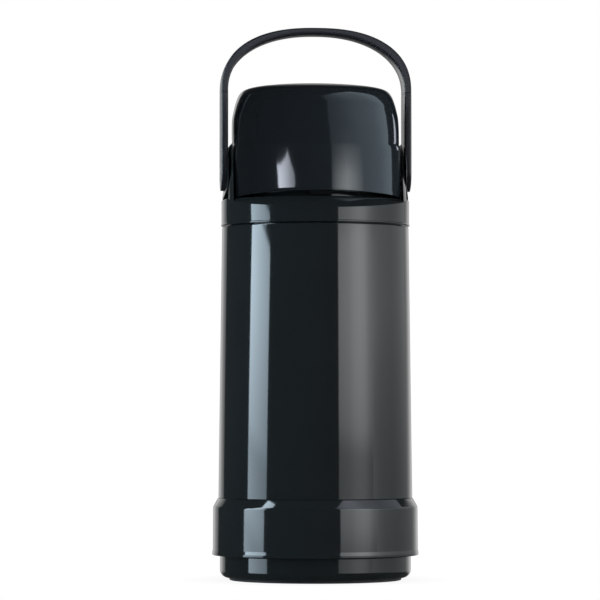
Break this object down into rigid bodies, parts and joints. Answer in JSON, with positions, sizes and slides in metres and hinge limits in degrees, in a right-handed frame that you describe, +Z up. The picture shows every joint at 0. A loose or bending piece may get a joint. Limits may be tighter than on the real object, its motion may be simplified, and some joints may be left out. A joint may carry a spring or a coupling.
{
  "type": "thermal carafe",
  "caption": "Tall black thermal carafe with a glass liner, screw stopper, rear-hinged flip lid and a swinging bail handle.",
  "frame": {"origin": "middle of the face that the carafe stands on", "axes": "+Z up along the carafe, the front with the lid's thumb catch towards -Y, the lid's hinge towards +Y"},
  "size_m": [0.1274, 0.1274, 0.3417],
  "materials": {
    "body_plastic": "gloss black moulded plastic",
    "lid_plastic": "gloss blue-black moulded plastic",
    "bail_plastic": "gloss black moulded plastic",
    "inner_plastic": "satin black moulded plastic",
    "foot_rubber": "matt dark rubber",
    "seal_rubber": "matt grey silicone",
    "clear_glass": "clear glass",
    "silvered_glass": "silvered glass",
    "spacer_pad": "pressed fibre pad",
    "pin_steel": "plain steel",
    "foam": "rigid foam"
  },
  "bodies": {
    "carafe": {"body_shell": "body_plastic", "base_cap": "body_plastic", "foot_ring": "foot_rubber", "liner_support": "foot_rubber", "liner_outer_wall": "silvered_glass", "liner_inner_wall": "clear_glass", "liner_spacers": "spacer_pad", "neck_gasket": "seal_rubber", "neck_ring": "inner_plastic", "collar": "body_plastic", "hinge_pin": "pin_steel", "pivot_pin_left": "pin_steel", "pivot_pin_right": "pin_steel"},
    "lid": {"lid_shell": "lid_plastic", "lid_liner": "inner_plastic", "lid_catch": "lid_plastic"},
    "bail": {"bail_handle": "bail_plastic"},
    "stopper_seal": {"stopper_gasket": "seal_rubber"},
    "stopper": {"stopper_body": "inner_plastic", "stopper_foam": "foam", "stopper_knob": "inner_plastic"}
  },
  "joints": [
    {"name": "lid_hinge", "type": "hinge", "parent": "carafe", "child": "lid", "pos_m": [0, 0.0518, 0.2387], "axis": [-1, 0, 0], "range_deg": [0, 105]},
    {"name": "bail_swing", "type": "hinge", "parent": "carafe", "child": "bail", "pos_m": [0, 0, 0.252], "axis": [1, 0, 0], "range_deg": [0, 106]},
    {"name": "stopper_lift", "type": "slide", "parent": "carafe", "child": "stopper_seal", "axis": [0, 0, 1], "range_m": [0, 0.006]},
    {"name": "stopper_turn", "type": "hinge", "parent": "stopper_seal", "child": "stopper", "pos_m": [0, 0, 0.26], "axis": [0, 0, 1], "range_deg": [0, 360]}
  ],
  "couplings": [
    {"joint": "stopper_lift", "follows": "stopper_turn", "m_per_rad": 0.0009549}
  ]
}
